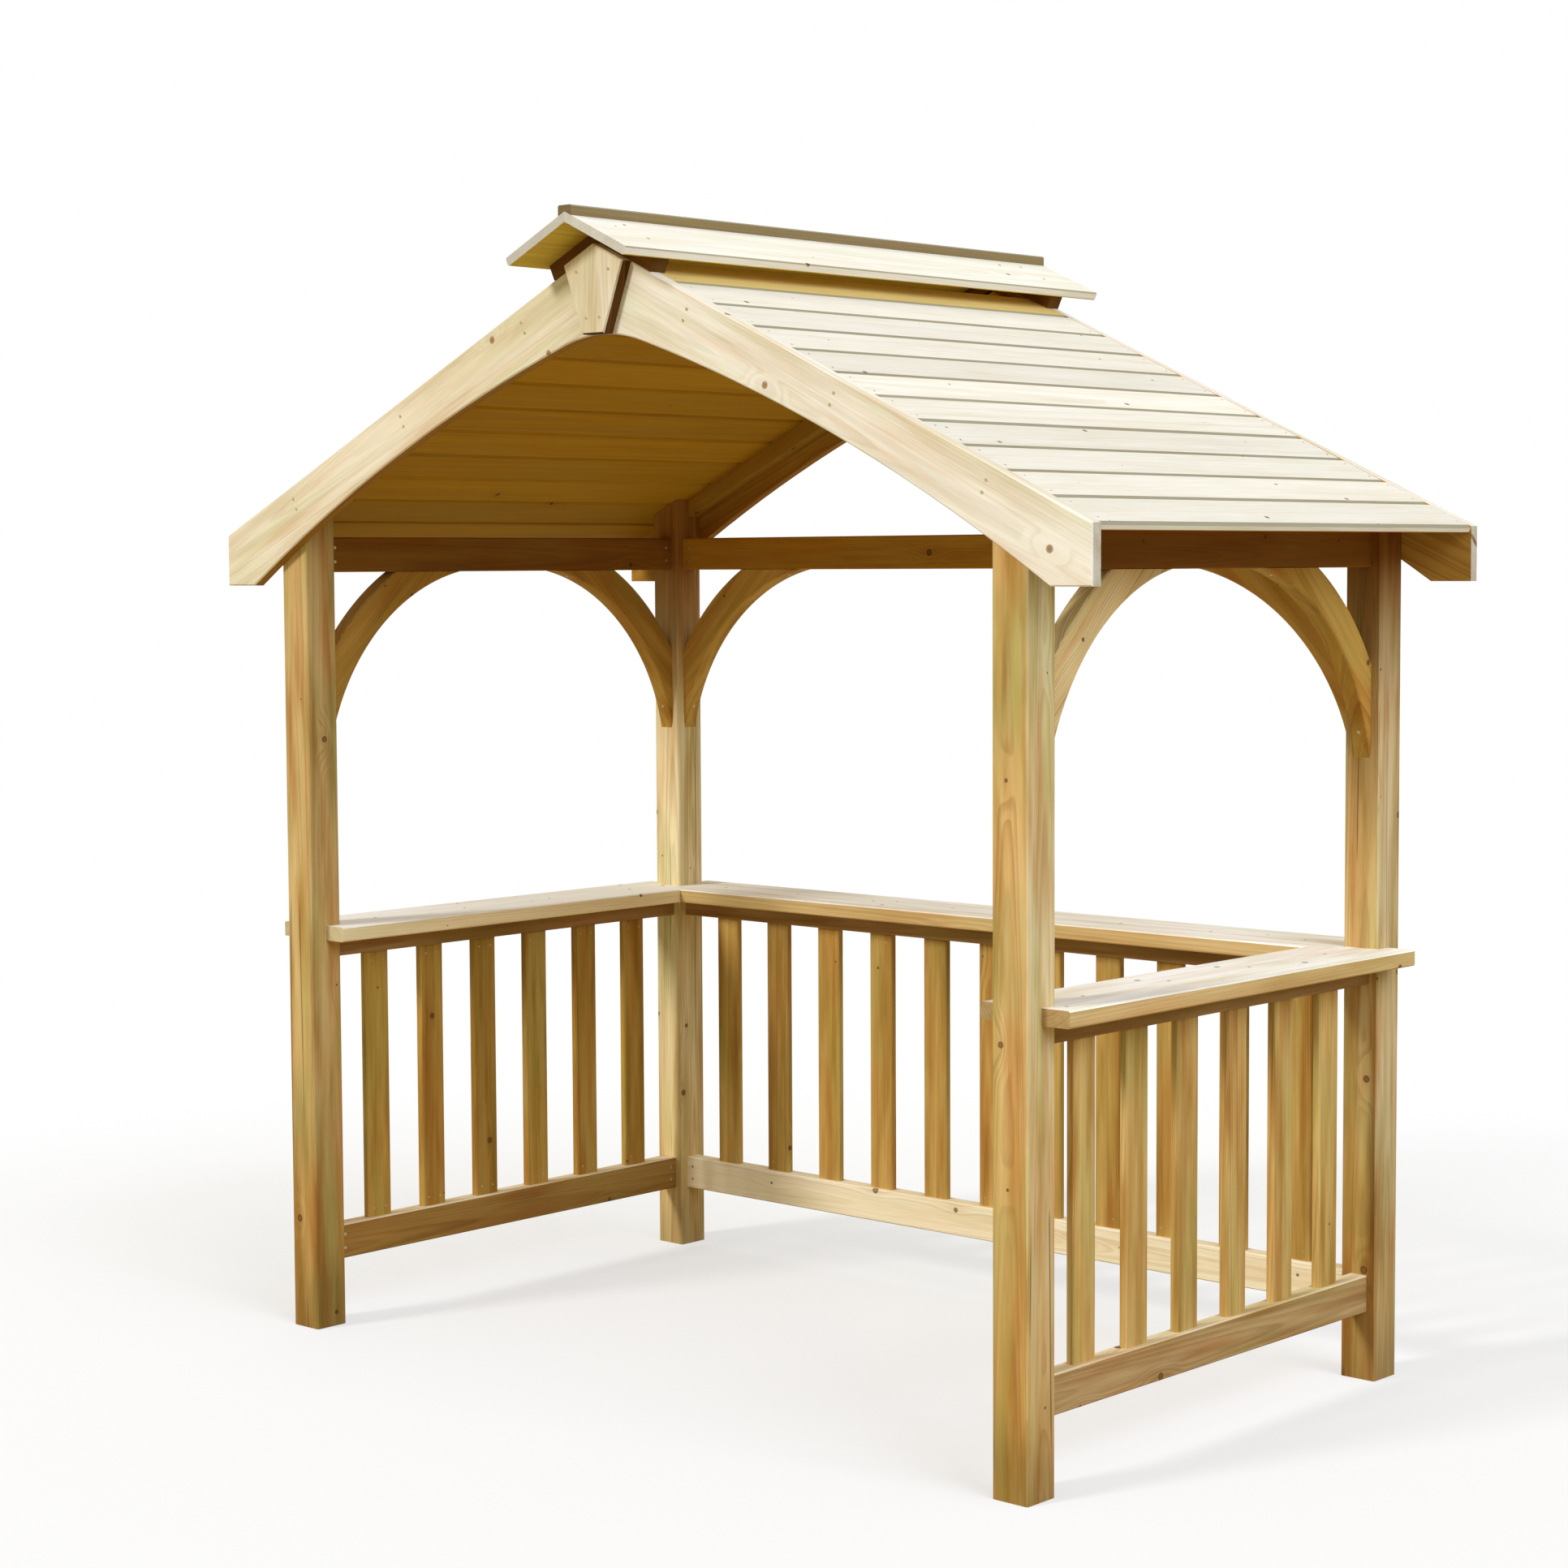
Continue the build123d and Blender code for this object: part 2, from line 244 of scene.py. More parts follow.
class PineGraph:
    """The node graph of one pine timber, built stage by stage from its place in space.

    Real growth rings are 1 to 4 mm wide and real fibres far finer than a pixel, so both are drawn
    as coarse as they need to show. Noise is given as waves to the metre across the grain, waves
    to the metre along it, and the number of finer layers.
    """

    FIBRE_MM = 2.4
    FIBRE_STRETCH = 40
    STREAKS = (16.0, 0.8)
    CLOUDS = (6.0, 1.7, 3.0)
    PATCHES = (26.0, 2.4, 4.0)
    WANDER = (5.0, 0.4)
    WANDER_MM = 8.0
    SPLITS = (11.0, 0.14, 0.0)
    SPLIT_STRETCHES = (5.0, 1.6, 0.0)
    LOG_SHIFT = (7.0, 9.0, 31.0)
    ROW_SPREAD_M = 0.05
    TIMBER_SPREAD_M = 0.012
    HEARTWOOD_M = (0.055, 0.025)
    LANE_MM = 105.0
    KNOTLESS_SHARE = 0.35
    KNOT_RIM_M = (0.0004, -0.0022)
    KNOT_HEART_M = (-0.0025, -0.0075)
    KNOT_REACH_MM = 34.0
    KNOT_PUSH = 1.1
    FLOW = 0.34
    TAPER = 0.012
    CLIMATE = (0.31, 3.5)
    SHELTER_AND_SHADE_EDGE_M = 0.006
    PAINTED_SHADE_REACH_M = 0.55
    PAINTED_SHADE_TINT = "b58a58"
    SOIL_TINT = "fae8bc"
    SOIL_SHARE = 0.85
    SOIL_RAGGED_M = -0.22
    STAINS = ("efd2b4", "dde3b8", "d9bf98")
    END_DARK = 0.68
    CRACK_DARK = 0.42
    RELIEF_MM = 0.5

    def __init__(self, finish: Pine, label: str, lie: Lie) -> None:
        """Build the whole graph.

        Args:
            finish: Colours and sizes of the figure.
            label: Name for the material.
            lie: Where the pith and the grain run.
        """
        self.finish = finish
        self.lie = lie
        self.material = empty_material(label)
        self.tree = self.material.node_tree
        self._find_place()
        self._grow_knots()
        self._grow_rings()
        self._draw_fibres()
        self._mix_timber()
        self._bleach_and_light()
        self._stain()
        self._wear()
        self._raise_relief()

    def _add(self, kind: str, inputs: Inputs = (), out: int | str = 0, **settings: object) -> NodeSocket:
        """Add a node to this graph and return one of its outputs."""
        return add_node(self.tree, kind, inputs, **settings).outputs[out]

    def _grain(self, across: float, along: float, detail: float = 2.0, out: int | str = 0) -> NodeSocket:
        """Draw noise that is stretched along the grain, and return it."""
        stretched = self._add("VectorMath", (self.seeded, (across, across, along)), operation="MULTIPLY")
        return self._add("TexNoise", {"Vector": stretched, "Scale": 1.0, "Detail": detail}, out)

    def _ease(self, value: Value, start: float, stop: float, low: float = 0.0,
              high: float = 1.0) -> NodeSocket:
        """Return what goes smoothly from low to high as a value goes from start to stop."""
        return self._add("MapRange", (value, start, stop, low, high), interpolation_type="SMOOTHSTEP")

    def _times(self, first: Value, *others: Value) -> Value:
        """Multiply shares and sizes with each other.

        Args:
            first: One of them.
            others: The rest.

        Returns:
            Their product.
        """
        for other in others:
            first = self._add("Math", (first, other), operation="MULTIPLY")
        return first

    def _lay(self, share: Value, over: Value | str, blend: str = "MIX") -> None:
        """Lay a colour, as a socket or in hex, over the colour mixed so far."""
        over = linear(over) if isinstance(over, str) else over
        self.colour = self._add("Mix", {0: share, 6: self.colour, 7: over}, 2,
                                data_type="RGBA", blend_type=blend)

    def _find_place(self) -> None:
        """Find each point's place from the pith, in m, with Z along the grain."""
        self.world = self._add("TexCoord", out="Object")
        self.height = self._add("SeparateXYZ", (self.world,), "Z")
        index: Value = float(self.lie.seed)
        if self.lie.row:
            row = self.lie.row
            reach = self._add("VectorMath", (self.world, row.axis), "Value", operation="DOT_PRODUCT")
            first = self.lie.seed * 40 - row.start / row.pitch
            steps = self._add("Math", (reach, 1 / row.pitch, first), operation="MULTIPLY_ADD")
            index = self._add("Math", (steps,), operation="FLOOR")
        self.chance = self._add("TexWhiteNoise", {"W": index}, "Color", noise_dimensions="1D")
        local = self._add("Mapping", {"Vector": self.world, "Location": self.lie.pith,
                                      "Rotation": self.lie.turn}, vector_type="TEXTURE")
        self.seeded = self._add("VectorMath", (self.chance, self.LOG_SHIFT, local),
                                operation="MULTIPLY_ADD")
        spread = self.ROW_SPREAD_M if self.lie.row else self.TIMBER_SPREAD_M
        self.sawn = self._add("VectorMath", (self.chance, (spread, spread, 0.0), local),
                              operation="MULTIPLY_ADD")

    def _grow_knots(self) -> None:
        """Place round knots in lanes along the grain, of sizes from nothing to the largest."""
        lane = self.LANE_MM * MM
        every = self.finish.knot_every_mm * MM
        parts = add_node(self.tree, "SeparateXYZ", (self.seeded,)).outputs
        girth = self._add("Math", (parts["X"], parts["Y"]), operation="ADD")
        unrolled = self._add("CombineXYZ", (girth, parts["Z"]))
        cells = self._add("VectorMath", (unrolled, (1 / lane, 1 / every, 0.0)), operation="MULTIPLY")
        branch = add_node(self.tree, "TexVoronoi", {"Vector": cells, "Scale": 1.0, "Randomness": 0.85},
                          voronoi_dimensions="2D").outputs
        gap = self._add("VectorMath", (cells, branch["Position"]), operation="SUBTRACT")
        true_gap = self._add("VectorMath", (gap, (lane, every, 0.0)), operation="MULTIPLY")
        distance = self._add("VectorMath", (true_gap,), "Value", operation="LENGTH")
        luck = self._add("SeparateXYZ", (branch["Color"],), "X")
        size = self._add("MapRange", (luck, self.KNOTLESS_SHARE, 1.0, 0.0, self.finish.knot_mm * MM))
        edge = self._add("Math", (distance, size), operation="SUBTRACT")
        self.knot = self._ease(edge, *self.KNOT_RIM_M)
        self.knot_heart = self._ease(edge, *self.KNOT_HEART_M)
        flow = self._add("VectorMath", (true_gap, (1.0, self.FLOW, 0.0)), operation="MULTIPLY")
        reach = self._add("VectorMath", (flow,), "Value", operation="LENGTH")
        self.halo = self._ease(reach, 0.0, self.KNOT_REACH_MM * MM, 1.0, 0.0)
        self.bend = self._times(self.halo, self._times(size, self.KNOT_PUSH))

    def _grow_rings(self) -> None:
        """Count growth rings out from the pith, bent by the knots and by slow wandering."""
        sway = self.WANDER_MM * MM
        wander = self._grain(*self.WANDER, out="Color")
        bent = self._add("VectorMath", (wander, (2 * sway, 2 * sway, 0.0), self.sawn),
                         operation="MULTIPLY_ADD")
        centred = self._add("VectorMath", (bent, (sway, sway, 0.0)), operation="SUBTRACT")
        flat = self._add("VectorMath", (centred, (1.0, 1.0, 0.0)), operation="MULTIPLY")
        self.radius = self._add("VectorMath", (flat,), "Value", operation="LENGTH")
        up_log = self._add("SeparateXYZ", (self.seeded,), "Z")
        tapered = self._add("Math", (up_log, self.TAPER, self.radius), operation="MULTIPLY_ADD")
        reach = self._add("Math", (tapered, self.bend), operation="ADD")
        rings = self._times(reach, 1 / (self.finish.ring_mm * MM))
        climate = self._add("TexNoise", {"W": rings, "Scale": self.CLIMATE[0], "Detail": 1.0},
                            noise_dimensions="1D")
        uneven = self._add("Math", (climate, self.CLIMATE[1], rings), operation="MULTIPLY_ADD")
        year = self._add("Math", (uneven,), operation="FRACT")
        summer = self._ease(year, 0.2, 0.85)
        winter = self._ease(year, 0.88, 1.0, 1.0, 0.0)
        self.late = self._times(summer, winter, self._ease(climate, 0.35, 0.65, 0.45, 1.0))

    def _draw_fibres(self) -> None:
        """Draw fine fibres, slow streaks, clouds of treatment, patches and drying cracks."""
        fibres = 1 / (self.FIBRE_MM * MM)
        self.fibre = self._grain(fibres, fibres / self.FIBRE_STRETCH, 1.0)
        self.streak = self._grain(*self.STREAKS)
        self.clouds = self._grain(*self.CLOUDS)
        self.patches = self._grain(*self.PATCHES, out="Color")
        self.crack = None
        if self.finish.crack:
            off = self._add("Math", (self._grain(*self.SPLITS), 0.5), operation="SUBTRACT")
            line = self._ease(self._add("Math", (off,), operation="ABSOLUTE"), 0.011, 0.003)
            least = 0.50 + 0.08 * (1 - self.finish.crack)
            stretch = self._ease(self._grain(*self.SPLIT_STRETCHES), 0.62, least, 1.0, 0.0)
            self.crack = self._times(line, stretch)

    def _mix_timber(self) -> None:
        """Mix sapwood with heartwood, latewood, clouds of treatment and halos round the knots."""
        finish = self.finish
        self.luck = add_node(self.tree, "SeparateXYZ", (self.chance,)).outputs
        core = self._times(self._ease(self.radius, *self.HEARTWOOD_M), 0.7)
        warm = self._add("Math", (self.streak, 1.5, -0.5), operation="MULTIPLY_ADD", use_clamp=True)
        heart = self._add("Math", (core, self._times(warm, self.luck["Z"])), operation="MAXIMUM")
        self.colour = linear(finish.sapwood)
        self._lay(heart, finish.heartwood)
        self._lay(self._times(self.late, finish.stripe), finish.latewood)
        self._lay(self._times(self._ease(self.clouds, 0.48, 0.68), finish.cloud), finish.treatment)
        halo = self._times(self.halo, self.halo, self._ease(self.bend, 0.0, 0.02, 0.0, 0.6))
        self._lay(halo, finish.latewood)

    def _bleach_and_light(self) -> None:
        """Paint faces that look to the weather pale, as sun bleaching and painted light, and V-joint walls
        darker, as dirt and painted shade.
        """
        finish = self.finish
        self.normal = self._add("NewGeometry", out="Normal")
        if not finish.pale:
            return
        # Painted light with sun bleaching: faces that look out towards the sky take the pale colour.
        facing = self._add("VectorMath", (self.normal, self.lie.out), "Value", operation="DOT_PRODUCT")
        open_to_sky = self._ease(facing, finish.pale_from, finish.pale_from + 0.2)
        grain_left = self._ease(self.late, 0.0, 1.0, finish.bleach_and_light, finish.bleach_and_light - 0.12)
        weathered_and_lit = linear(finish.pale)
        # Painted shadow of the cap, with unbleached wood: near the ridge the pale faces take a darker ochre.
        if finish.sheltered_and_shaded:
            place = self._add("SeparateXYZ", (self.world,), "X")
            away = self._add("Math", (place,), operation="ABSOLUTE")
            edge = self.SHELTER_AND_SHADE_EDGE_M
            beyond = self._ease(away, finish.shelter_m - edge, finish.shelter_m + edge)
            weathered_and_lit = self._add("Mix", {0: beyond, 6: linear(finish.sheltered_and_shaded), 7: weathered_and_lit}, 2,
                                  data_type="RGBA")
        self._lay(self._times(open_to_sky, grain_left), weathered_and_lit)
        # Painted shade with dirt: the walls of the V-joints are coloured darker.
        if finish.joint:
            wall = self._times(self._ease(facing, 0.3, 0.6), self._ease(facing, 0.97, 0.88), 0.9)
            self._lay(wall, finish.joint)

    def _stain(self) -> None:
        """Draw the patches where the treatment soaked in unevenly, and the knots over them."""
        patches = add_node(self.tree, "SeparateXYZ", (self.patches,)).outputs
        for number, stain in enumerate(self.STAINS):
            soaked = self._times(self._ease(patches[number], 0.42, 0.70), self.finish.mottle)
            self._lay(soaked, stain, "MULTIPLY")
        self._lay(self._times(self.knot, 0.85), self.finish.knot)
        self._lay(self._times(self.knot_heart, 0.45), self.finish.latewood)

    def _wear(self) -> None:
        """Darken fibres, whole timbers, cut ends, cracks and the foot, and paint the roof's shade on the
        head.
        """
        end = self._add("VectorMath", (self.normal, self.lie.along), "Value", operation="DOT_PRODUCT")
        cut_end = self._add("Math", (end,), operation="ABSOLUTE")
        worn = [self._add("Math", (self.fibre, 0.22, 0.89), operation="MULTIPLY_ADD"),
                self._add("Math", (self.luck["X"], 0.16, 0.92), operation="MULTIPLY_ADD"),
                self._ease(cut_end, 0.75, 0.95, 1.0, self.END_DARK)]
        if self.crack is not None:
            worn.append(self._ease(self.crack, 0.0, 1.0, 1.0, self.CRACK_DARK))
        if self.finish.soil:
            self._splash()
        # Painted shade of the roof: the timber is darkened upwards from a given height.
        if self.finish.painted_shade_m:
            painted_shade_m = self.finish.painted_shade_m
            painted_shade = self._ease(self.height, painted_shade_m, painted_shade_m + self.PAINTED_SHADE_REACH_M)
            self._lay(painted_shade, self.PAINTED_SHADE_TINT, "MULTIPLY")
        self._lay(1.0, self._times(*worn), "MULTIPLY")

    def _splash(self) -> None:
        """Brown and darken the foot, which is damp and splashed with soil."""
        ragged = self._add("Math", (self.clouds, self.SOIL_RAGGED_M, self.height),
                           operation="MULTIPLY_ADD")
        dark = self._times(self._ease(ragged, -0.1, 0.1, 0.74, 1.0), self._ease(ragged, -0.1, 0.8, 0.8, 1.0))
        self._lay(self._ease(ragged, -0.1, 0.8, self.SOIL_SHARE, 0.0), self.SOIL_TINT, "MULTIPLY")
        self._lay(1.0, dark, "MULTIPLY")

    def _raise_relief(self) -> None:
        """Raise the latewood and the knots, sink the cracks, and close the graph."""
        height = self._add("Math", (self.late, 0.35, self._times(self.fibre, 0.5)),
                           operation="MULTIPLY_ADD")
        height = self._add("Math", (self.knot, 0.5, height), operation="MULTIPLY_ADD")
        if self.crack is not None:
            height = self._add("Math", (self.crack, -2.5, height), operation="MULTIPLY_ADD")
        bump = self._add("Bump", {"Strength": 0.7, "Distance": self.RELIEF_MM * MM, "Height": height})
        dull = self._ease(self.late, 0.0, 1.0, 0.84, 0.72)
        shader = self._add("BsdfPrincipled", {"Base Color": self.colour, "Roughness": dull, "IOR": 1.5,
                                              "Specular IOR Level": 0.14, "Normal": bump})
        add_node(self.tree, "OutputMaterial", {"Surface": shader})


@dataclass(frozen=True)
class ZincSteel:
    """Zinc-plated steel, pressed and passivated: grey with a faint yellow and a dull gleam.

    Attributes:
        colour, stain: sRGB colours in hex of the plating and of its duller spots.
        roughness: How dull the gleam is.
        spot_mm: Size of a spot.
    """

    colour: str = "c9b98c"
    stain: str = "94835a"
    roughness: float = 0.45
    spot_mm: float = 3.0

    def material(self, label: str) -> Material:
        """Make the finish of the screws and nails.

        Args:
            label: Name for the material.

        Returns:
            The new material.
        """
        made = empty_material(label)
        tree = made.node_tree
        place = add_node(tree, "TexCoord").outputs["Object"]
        spots = add_node(tree, "TexNoise", {"Vector": place, "Scale": 1 / (self.spot_mm * MM),
                                            "Detail": 2.0}).outputs[0]
        mix = add_node(tree, "Mix", {0: spots, 6: linear(self.colour), 7: linear(self.stain)},
                       data_type="RGBA")
        bump = add_node(tree, "Bump", {"Strength": 0.3, "Distance": 0.1 * MM, "Height": spots})
        shader = add_node(tree, "BsdfPrincipled",
                          {"Base Color": mix.outputs[2], "Metallic": 1.0,
                           "Roughness": self.roughness, "Normal": bump.outputs[0]})
        add_node(tree, "OutputMaterial", {"Surface": shader.outputs[0]})
        return made


# The outer faces of the posts are paler, partly bleached and partly painted light.
POST_PINE = Pine("dabd80", "d0a266", "a47a46", knot="6a4220", treatment="a6ab6c", ring_mm=5.5,
                 stripe=0.42, cloud=0.5, mottle=0.75, crack=0.6, soil=True, knot_every_mm=300,
                 pale="ede8c9", pale_from=0.5, bleach_and_light=0.36)
# The back posts are darkened upwards from 1.4 m: painted shade of the roof.
SHADED_BACK_POST_PINE = replace(POST_PINE, painted_shade_m=1.4)
# A paler copy for the back left post: painted light.
LIT_POST_PINE = replace(SHADED_BACK_POST_PINE, sapwood="fcf0c6", heartwood="efd8a4", cloud=0.3, mottle=0.5)
# The ochre sapwood and heartwood colour the faces that look away from the weather: partly unbleached wood,
# partly painted shade.
BARGE_PINE = Pine("b88a34", "a8742c", "8a5a20", knot="a27e54", pale="f9f1da", pale_from=-0.25,
                  bleach_and_light=0.88, mottle=0.38, knot_mm=10, knot_every_mm=320, cloud=0.1)
PALE_BARGE_PINE = replace(BARGE_PINE, sapwood="cca04c", heartwood="bc8c3e", pale="fcf8ec",
                          bleach_and_light=0.92)
# Painted shadow: the keystones' side faces are nearly black-brown, and only their front faces take the pale
# colour.
SHADOWED_KEYSTONE_PINE = replace(BARGE_PINE, sapwood="54340f", heartwood="46290c", pale_from=0.3)
RAFTER_PINE = Pine("b08020", "9c6c1a", "80521a", stripe=0.4)
SADDLE_PINE = Pine("845a20", "744a1a", "5c3a14", stripe=0.4)
BRACE_PINE = Pine("cca04c", "b8883c", "8a6028", stripe=0.4, mottle=0.6, knot_mm=8)
# Paler copies for the back braces and the front right brace: painted light.
LIT_BACK_BRACE_PINE = replace(BRACE_PINE, sapwood="deb460", heartwood="c89e4e", latewood="967032")
LIT_BRACE_PINE = replace(BRACE_PINE, sapwood="f0d8a0", heartwood="e0c084")
# The ochre sapwood and heartwood, low in blue, colour the boards' undersides: partly unbleached wood, partly
# painted shade.
ROOF_PINE = Pine("c4941e", "b07c18", "8a5a12", pale="f3f0e4", pale_from=-0.25, bleach_and_light=0.93,
                 sheltered_and_shaded="e6cc80", shelter_m=0.198, joint="a39a7e", ring_mm=7, stripe=0.3,
                 cloud=0.1, mottle=0.12, knot_mm=8, knot_every_mm=520)
# The bright yellow sapwood and heartwood colour the cap boards' undersides: painted light in the shade over
# the vent.
CAP_PINE = replace(ROOF_PINE, sapwood="e8cc58", heartwood="dcba48", pale="efede4", sheltered_and_shaded=None)
STRIP_PINE = replace(CAP_PINE, sapwood="94805a", heartwood="84704c", latewood="6e5a3c",
                     pale="cfc6ac", pale_from=0.4)
# Painted shade: the side beams are darkened to the shade under the eaves.
SHADED_BEAM_PINE = Pine("90601e", "7e4e18", "623c12", stripe=0.4, cloud=0.15)
# A lighter copy for the back beam: painted light.
LIT_BACK_BEAM_PINE = replace(SHADED_BEAM_PINE, sapwood="cc9630", heartwood="b68228", latewood="8a5e1c")
RAIL_PINE = Pine("c0a070", "aa8456", "88643e", pale="fdf0cc", bleach_and_light=0.8, stripe=0.42, mottle=0.6)
# A darker copy for the left bottom rail: painted shade.
SHADED_RAIL_PINE = replace(RAIL_PINE, sapwood="a98243", heartwood="966c33", latewood="775325")
# A far paler copy for the back bottom rail: painted light.
LIT_RAIL_PINE = replace(RAIL_PINE, sapwood="fdf5dc", heartwood="f2e0b8", latewood="d2b684",
                         mottle=0.2, cloud=0.1)
SLAT_PINE = Pine("dcbb76", "c49e56", "9b743d", stripe=0.45, knot_mm=9, knot_every_mm=380,
                 cloud=0.35, mottle=0.75)
# Darker copies for the left and back slats: painted shade, while the right slats' copy stands for their lit
# outer faces.
SHADED_SLAT_PINE = replace(SLAT_PINE, sapwood="c09a4a", heartwood="aa823a", latewood="886026")
SHADED_BACK_SLAT_PINE = replace(SLAT_PINE, sapwood="d2ae62", heartwood="bc944c", latewood="946c32")
SHELF_PINE = Pine("dcc08a", "cca86c", "a8804a", pale="fdfbf4", bleach_and_light=0.96, ring_mm=6, stripe=0.35,
                  knot_mm=9)
# A paler copy for the left shelf: painted light on its shaded inner edge.
LIT_SHELF_PINE = replace(SHELF_PINE, sapwood="fcecc4", heartwood="f2dca8", latewood="cca878",
                          mottle=0.15)
SCREW_STEEL = ZincSteel()

UP = Vector((0, 0, 1))
DEEP = Vector((0, 1, 0))
ACROSS = Vector((1, 0, 0))


@dataclass(frozen=True)
class Panel:
    """One walled side of the shelter, with the pine of its timbers.

    Attributes:
        name: Word that its node names begin with.
        along: Unit vector along it.
        thin: Unit vector through it.
        inward: Unit vector through it into the shelter.
        count: Number of slats.
        beam, bottom_rail, slats, shelf, top_rail: Pine of the timbers named so.
    """

    name: str
    along: Vector
    thin: Vector
    inward: Vector
    count: int
    beam: Pine
    bottom_rail: Pine
    slats: Pine
    shelf: Pine
    top_rail: Pine = RAIL_PINE

    def inner_face(self, kind: str) -> Vector:
        """Find how far in one of its timbers reaches, as a vector from the shelter's middle."""
        return self.inward * max(corner.dot(self.inward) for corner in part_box(f"{self.name}_{kind}"))


PANELS = (
    Panel("left", DEEP, ACROSS, ACROSS, 6, SHADED_BEAM_PINE, SHADED_RAIL_PINE, SHADED_SLAT_PINE, LIT_SHELF_PINE),
    Panel("right", DEEP, ACROSS, -ACROSS, 6, SHADED_BEAM_PINE, RAIL_PINE, SLAT_PINE, SHELF_PINE),
    Panel("back", ACROSS, DEEP, -DEEP, 11, LIT_BACK_BEAM_PINE, LIT_RAIL_PINE, SHADED_BACK_SLAT_PINE, SHELF_PINE),
)


@dataclass
class Yard:
    """Cuts timbers from logs: gives each one its own pith, and remembers how many it has cut.

    Attributes:
        count: Number of timbers cut so far.
        depths: Least and most of how deep a pith lies, as a share of the cut's.
        sideways: The same for how far to one side.
    """

    count: int = 0
    depths: tuple[float, float] = (0.8, 1.2)
    sideways: tuple[float, float] = (-0.35, 0.35)

    def lie(self, node: str, along: Vector, cut: Cut, thin: Vector, out: Vector,
            row: Row | None = None) -> Lie:
        """Choose where the pith of one timber runs.

        Args:
            node: CAD node whose box the timber fills.
            along: Unit vector along the grain.
            cut: How the timber was sawn.
            thin: Unit vector through its thickness.
            out: Unit vector towards the weather and the light, which the pale faces look to.
            row: Set where the mesh holds a row of like pieces.

        Returns:
            The lie of the timber.
        """
        self.count += 1
        chance = Random(self.count)
        low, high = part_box(node)
        wide = along.cross(thin).normalized()
        off = cut.value * MM * chance.uniform(*self.depths)
        aside = cut.value * MM * chance.uniform(*self.sideways)
        pith = (low + high) / 2 + thin * off * chance.choice((-1, 1)) + wide * aside
        return Lie(pith, along, self.count, out, row)

    def dress(self, node: str, finish: Pine, along: Vector, cut: Cut, thin: Vector,
              out: Vector = UP, row: Row | None = None) -> None:
        """Give a CAD node its finish.

        Args:
            node: Name of the node.
            finish: Kind of pine.
            along: Unit vector along the grain.
            cut: How the timber was sawn.
            thin: Unit vector through its thickness.
            out: Unit vector towards the weather and the light, which the pale faces look to.
            row: Set where the node holds a row of like pieces.
        """
        made = finish.material(f"pine_{node}", self.lie(node, along, cut, thin, out, row))
        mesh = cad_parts[node].data
        mesh.materials.clear()
        mesh.materials.append(made)
        log.info("dressed %s", node)


def piece_from(name: str, form: BMesh, material: Material) -> Object:
    """Make a scene piece of a finished form, riding on the shelter.

    Args:
        name: Name for the piece.
        form: Its mesh, freed here.
        material: Its finish.

    Returns:
        The new object.
    """
    bmesh.ops.recalc_face_normals(form, faces=form.faces)
    mesh = bpy.data.meshes.new(name)
    form.to_mesh(mesh)
    form.free()
    mesh.materials.append(material)
    made = bpy.data.objects.new(name, mesh)
    bpy.context.scene.collection.objects.link(made)
    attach(made, BODY)
    log.info("built %s: %d faces", name, len(mesh.polygons))
    return made


@dataclass
class Roof:
    """The planes of the roof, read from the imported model.

    Attributes:
        ridge_z: Height at which the two upper faces would meet.
        vent_x: Distance of the boards' top edge from the ridge plane.
        pitch: Slope of the roof, in radians.
    """

    ridge_z: float = field(init=False)
    vent_x: float = field(init=False)
    pitch: float = field(init=False)

    def __post_init__(self) -> None:
        """Read the planes from the barge boards and the roof boards."""
        self.ridge_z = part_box("back_right_barge_board")[1].z
        boards_low, boards_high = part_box("right_roof_boards")
        self.vent_x = boards_low.x
        self.pitch = atan2(self.ridge_z - boards_high.z, self.vent_x)

    def down(self, side: Side) -> Vector:
        """Unit vector down one slope."""
        return Vector((side.value * cos(self.pitch), 0, -sin(self.pitch)))

    def out(self, side: Side) -> Vector:
        """Unit vector square to one slope, pointing up and out."""
        return Vector((side.value * sin(self.pitch), 0, cos(self.pitch)))

    def point(self, side: Side, distance: float, height: float, y: float) -> Vector:
        """Find a point from its distance down a slope, height off it and place along the ridge."""
        return Vector((0, y, self.ridge_z)) + self.down(side) * distance + self.out(side) * height


